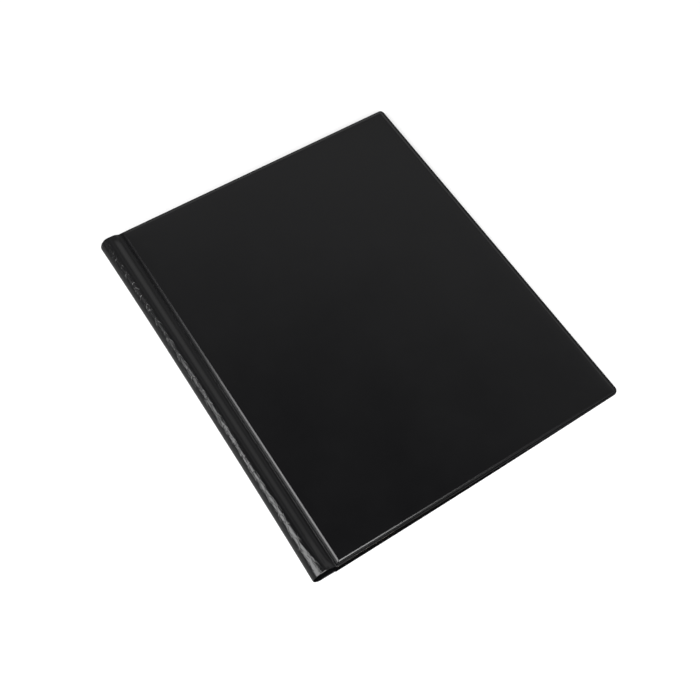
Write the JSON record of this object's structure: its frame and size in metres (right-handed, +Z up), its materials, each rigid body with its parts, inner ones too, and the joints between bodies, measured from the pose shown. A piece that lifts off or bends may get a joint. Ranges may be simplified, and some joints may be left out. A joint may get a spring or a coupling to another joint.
{
  "type": "plastic fastener folder",
  "caption": "Black plastic folder with stiff padded covers, a soft round spine and a flat prong fastener with sliding locks inside; it opens flat.",
  "frame": {"origin": "middle of the closed folder's box, on the surface that it lies on", "axes": "+X from the spine to the fore edge, +Y from the tail to the head, +Z up through the closed covers"},
  "size_m": [0.268, 0.318, 0.0189],
  "materials": {
    "cover_film": "black plasticised film with a soft sheen",
    "lining_film": "black film, dull",
    "greyboard": "plain grey board",
    "fastener_plastic": "moulded, satin"
  },
  "bodies": {
    "back_cover": {"back_cover_film": "cover_film", "back_board": "greyboard", "back_lining": "lining_film", "fastener_base": "fastener_plastic", "fastener_band": "lining_film", "pressure_bar": "fastener_plastic"},
    "spine": {"spine_film": "cover_film"},
    "front_cover": {"front_cover_film": "cover_film", "front_board": "greyboard", "front_lining": "lining_film"},
    "tail_lock": {"tail_lock": "fastener_plastic"},
    "head_lock": {"head_lock": "fastener_plastic"}
  },
  "joints": [
    {"name": "spine_hinge", "type": "hinge", "parent": "back_cover", "child": "spine", "pos_m": [-0.13295, 0, 0.006], "axis": [0, -1, 0], "range_deg": [0, 90]},
    {"name": "front_hinge", "type": "hinge", "parent": "spine", "child": "front_cover", "pos_m": [-0.13295, 0, 0.0144], "axis": [0, -1, 0], "range_deg": [0, 92]},
    {"name": "tail_lock_slide", "type": "slide", "parent": "back_cover", "child": "tail_lock", "axis": [0, 1, 0], "range_m": [0, 0.015]},
    {"name": "head_lock_slide", "type": "slide", "parent": "back_cover", "child": "head_lock", "axis": [0, -1, 0], "range_m": [0, 0.015]}
  ]
}
